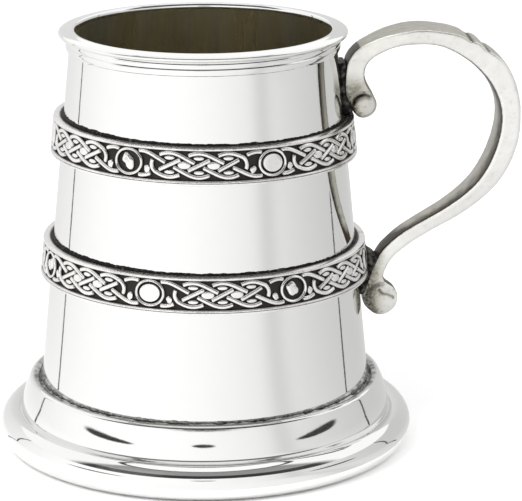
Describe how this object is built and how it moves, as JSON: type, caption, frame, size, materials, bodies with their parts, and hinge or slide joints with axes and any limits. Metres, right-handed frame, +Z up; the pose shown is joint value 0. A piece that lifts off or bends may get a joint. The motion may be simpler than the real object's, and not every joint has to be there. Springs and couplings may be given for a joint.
{
  "type": "pewter tankard",
  "caption": "Tapered drum tankard on a wide hollow foot, with two knotwork bands and a cast scroll handle, for holding a drink.",
  "frame": {"origin": "middle of the whole object's footprint on the surface it stands on; the drum's own axis is parallel to Z at x = -15.05 mm", "axes": "+Z up out of the drum's mouth, +X from the drum towards the handle, +Y completes the right-handed set"},
  "size_m": [0.1492, 0.1192, 0.121],
  "materials": {
    "polished_pewter": "hand-polished pewter, mirror bright with faint turning marks",
    "inner_pewter": "plain satin pewter inside the drum, slightly golden",
    "antiqued_pewter": "cast relief, recesses blackened and the raised parts polished back",
    "cast_pewter": "cast and hand-finished pewter, satin with fine pits, darker on the inner face",
    "solder": "blackened soft solder, slightly rough"
  },
  "bodies": {
    "root": {"drum_wall": "polished_pewter", "cup_floor": "inner_pewter", "lip_moulding": "polished_pewter", "foot_moulding": "polished_pewter", "foot_solder": "solder", "upper_band": "antiqued_pewter", "lower_band": "antiqued_pewter", "handle": "cast_pewter", "handle_upper_solder": "solder", "handle_lower_solder": "solder"}
  },
  "joints": []
}
